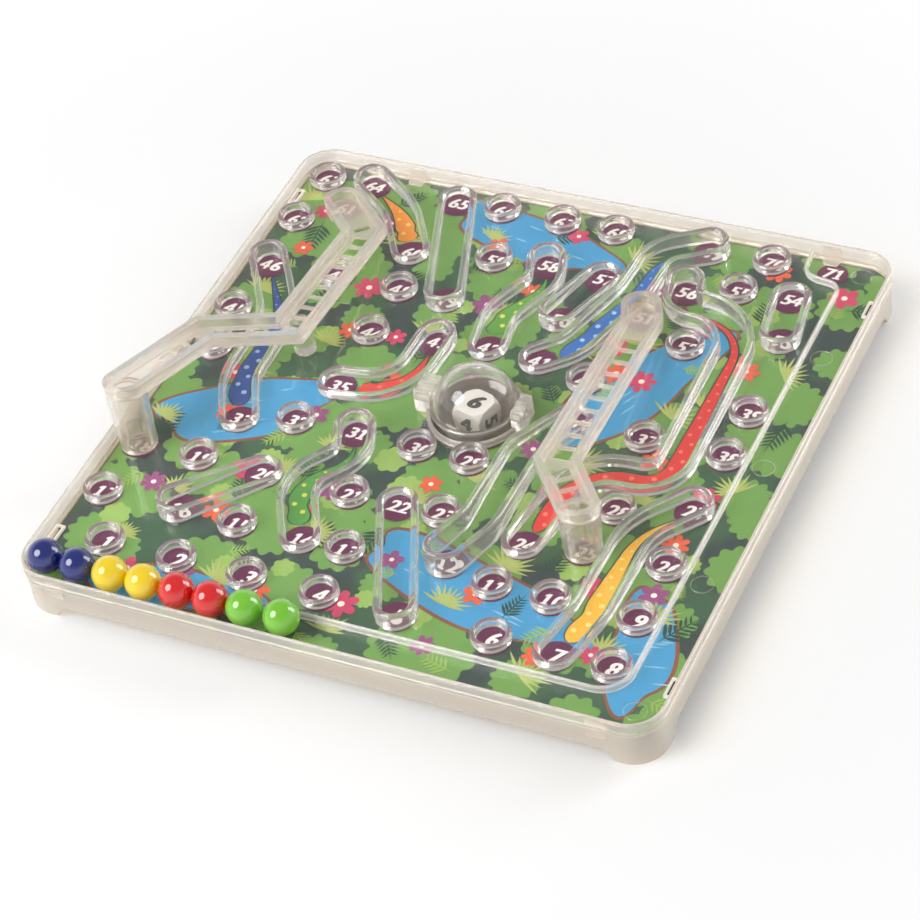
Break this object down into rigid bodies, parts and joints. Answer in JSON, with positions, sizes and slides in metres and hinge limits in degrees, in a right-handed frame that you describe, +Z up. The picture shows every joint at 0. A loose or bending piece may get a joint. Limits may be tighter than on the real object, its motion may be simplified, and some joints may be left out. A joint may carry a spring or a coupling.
{
  "type": "snakes and ladders game",
  "caption": "Square tabletop marble game: clear moulded tray of rings, rail channels and raised ladder chutes over a printed card, with marbles and a turning die capsule.",
  "frame": {"origin": "middle of the board on the table, at the underside of the feet", "axes": "+X to the right along the front edge, +Y to the back, +Z up"},
  "size_m": [0.27, 0.27, 0.0505],
  "materials": {
    "clear_plastic": "clear injection-moulded plastic, polished",
    "base_plastic": "clear injection-moulded plastic, slightly frosted",
    "printed_card": "printed card",
    "capsule_plastic": "clear moulded plastic, polished",
    "die_plastic": "white plastic with black numerals",
    "marble_blue": "polished",
    "marble_yellow": "polished",
    "marble_red": "polished",
    "marble_green": "polished"
  },
  "bodies": {
    "board": {"corner_feet": "base_plastic", "base_skirt": "base_plastic", "base_plate": "base_plastic", "card": "printed_card", "tray_panel": "clear_plastic", "tray_rim": "clear_plastic", "rings_row_1": "clear_plastic", "rings_row_2": "clear_plastic", "rings_row_3": "clear_plastic", "rings_row_4": "clear_plastic", "rings_row_5": "clear_plastic", "rings_row_6": "clear_plastic", "rings_row_7": "clear_plastic", "rings_row_8": "clear_plastic", "rings_row_9": "clear_plastic", "ladder_05": "clear_plastic", "ladder_12": "clear_plastic", "ladder_16": "clear_plastic", "ladder_49": "clear_plastic", "ladder_50": "clear_plastic", "ladder_53": "clear_plastic", "snake_27": "clear_plastic", "snake_31": "clear_plastic", "snake_43": "clear_plastic", "snake_46": "clear_plastic", "snake_56": "clear_plastic", "snake_58": "clear_plastic", "snake_64": "clear_plastic", "snake_69": "clear_plastic", "gutter_wall": "clear_plastic", "clip_frames": "clear_plastic", "hook_tabs": "clear_plastic", "tower_sockets": "clear_plastic", "long_chute_rails": "clear_plastic", "long_chute_ladder": "clear_plastic", "long_chute_tower": "clear_plastic", "long_chute_leg": "clear_plastic", "short_chute_rails": "clear_plastic", "short_chute_ladder": "clear_plastic", "short_chute_tower": "clear_plastic", "capsule_collar": "clear_plastic", "bearing_left": "clear_plastic", "bearing_right": "clear_plastic"},
    "capsule": {"capsule_upper": "capsule_plastic", "capsule_lower": "capsule_plastic"},
    "die": {"die": "die_plastic"},
    "ball_1": {"ball_1": "marble_blue"},
    "ball_2": {"ball_2": "marble_blue"},
    "ball_3": {"ball_3": "marble_yellow"},
    "ball_4": {"ball_4": "marble_yellow"},
    "ball_5": {"ball_5": "marble_red"},
    "ball_6": {"ball_6": "marble_red"},
    "ball_7": {"ball_7": "marble_green"},
    "ball_8": {"ball_8": "marble_green"}
  },
  "joints": [
    {"name": "capsule_turn", "type": "hinge", "parent": "board", "child": "capsule", "pos_m": [0.0017, 0.0051, 0.0205], "axis": [1, 0, 0], "continuous": true},
    {"name": "die_hop", "type": "slide", "parent": "board", "child": "die", "axis": [0, 0, 1], "range_m": [0, 0.012]},
    {"name": "ball_1_lift", "type": "slide", "parent": "board", "child": "ball_1", "axis": [0, 0, 1], "range_m": [0, 0.06]},
    {"name": "ball_2_lift", "type": "slide", "parent": "board", "child": "ball_2", "axis": [0, 0, 1], "range_m": [0, 0.06]},
    {"name": "ball_3_lift", "type": "slide", "parent": "board", "child": "ball_3", "axis": [0, 0, 1], "range_m": [0, 0.06]},
    {"name": "ball_4_lift", "type": "slide", "parent": "board", "child": "ball_4", "axis": [0, 0, 1], "range_m": [0, 0.06]},
    {"name": "ball_5_lift", "type": "slide", "parent": "board", "child": "ball_5", "axis": [0, 0, 1], "range_m": [0, 0.06]},
    {"name": "ball_6_lift", "type": "slide", "parent": "board", "child": "ball_6", "axis": [0, 0, 1], "range_m": [0, 0.06]},
    {"name": "ball_7_lift", "type": "slide", "parent": "board", "child": "ball_7", "axis": [0, 0, 1], "range_m": [0, 0.06]},
    {"name": "ball_8_lift", "type": "slide", "parent": "board", "child": "ball_8", "axis": [0, 0, 1], "range_m": [0, 0.06]}
  ]
}
